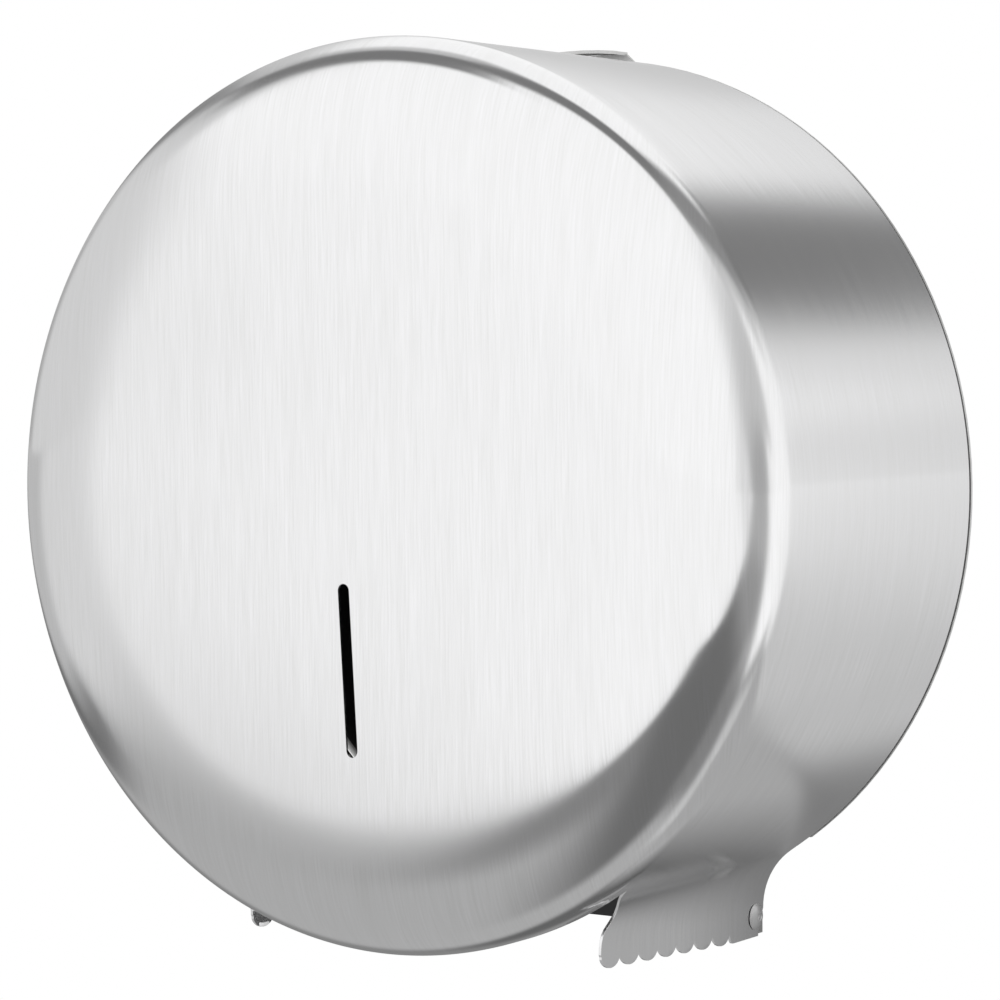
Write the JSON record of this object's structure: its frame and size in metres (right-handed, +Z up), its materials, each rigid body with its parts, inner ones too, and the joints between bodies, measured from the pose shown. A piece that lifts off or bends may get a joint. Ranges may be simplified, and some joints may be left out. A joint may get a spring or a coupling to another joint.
{
  "type": "jumbo toilet roll dispenser",
  "caption": "Wall-mounted round dispenser for a jumbo toilet roll: a drawn steel drum cover with a viewing slot and serrated tear lips, hinged at its foot over a free-turning roll spindle.",
  "frame": {"origin": "on the wall, on the axis of the drum", "axes": "+Y into the wall, so the round face looks along -Y; +Z up; +X to the right of somebody who faces the dispenser"},
  "size_m": [0.26, 0.131, 0.2676],
  "materials": {
    "brushed_cover": "brushed",
    "plate_steel": "satin",
    "bracket_steel": "satin",
    "rivet_steel": "satin",
    "bright_steel": "turned",
    "spring_steel": "oiled",
    "white_plastic": "moulded",
    "grey_plastic": "moulded",
    "nylon": "moulded"
  },
  "bodies": {
    "mounting": {"wall_plate": "plate_steel", "right_hinge_rivet": "rivet_steel", "left_hinge_rivet": "rivet_steel", "right_hinge_washer": "nylon", "left_hinge_washer": "nylon", "spindle_bracket": "bracket_steel", "bracket_rivets": "rivet_steel", "axle": "bright_steel", "axle_lock_washer": "bracket_steel", "axle_nut": "bracket_steel", "rear_thrust_washer": "nylon", "front_thrust_washer": "nylon", "retaining_ring": "spring_steel", "latch_bracket": "bracket_steel", "latch_rivets": "rivet_steel", "latch_pin": "bright_steel", "latch_spring": "spring_steel"},
    "cover": {"cover_shell": "brushed_cover"},
    "hub": {"roll_hub": "white_plastic", "hub_bush_rear": "grey_plastic", "hub_bush_front": "grey_plastic", "hub_end_cap": "white_plastic"},
    "latch": {"latch_lever": "bracket_steel"}
  },
  "joints": [
    {"name": "cover_hinge", "type": "hinge", "parent": "mounting", "child": "cover", "pos_m": [0, -0.0075, -0.1288], "axis": [1, 0, 0], "range_deg": [0, 90]},
    {"name": "hub_spin", "type": "hinge", "parent": "mounting", "child": "hub", "pos_m": [0, -0.06, 0], "axis": [0, -1, 0], "continuous": true},
    {"name": "latch_press", "type": "hinge", "parent": "mounting", "child": "latch", "pos_m": [0, -0.024, 0.1204], "axis": [-1, 0, 0], "range_deg": [0, 10], "stiffness_Nm_per_rad": 0.6, "springref_deg": -6.88, "deforming": ["latch_spring"]}
  ]
}
